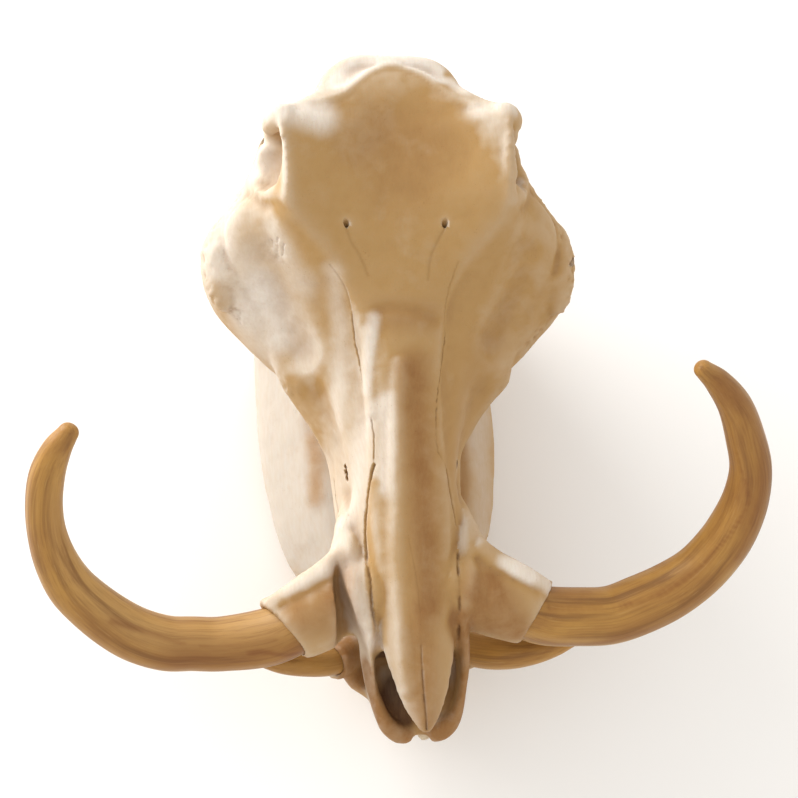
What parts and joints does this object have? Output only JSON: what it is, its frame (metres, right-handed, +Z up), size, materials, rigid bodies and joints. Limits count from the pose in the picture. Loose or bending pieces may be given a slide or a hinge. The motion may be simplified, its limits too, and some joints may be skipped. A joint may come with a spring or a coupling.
{
  "type": "warthog skull",
  "caption": "Life-size warthog skull with its lower jaw closed, flared cheek arches and large upward-curling tusks, resting on the edge of the jaw.",
  "frame": {"origin": "middle of the bounding box, on the floor that the lower jaw rests on", "axes": "+Z up, snout towards -Y, the animal's left towards +X; X runs from tusk to tusk"},
  "size_m": [0.4137, 0.3666, 0.2473],
  "materials": {
    "bone": "matte",
    "ivory": "satin"
  },
  "bodies": {
    "root": {"cranium": "bone", "mandible": "bone", "tusk_upper_left": "ivory", "tusk_upper_right": "ivory", "tusk_lower_left": "ivory", "tusk_lower_right": "ivory"}
  },
  "joints": []
}
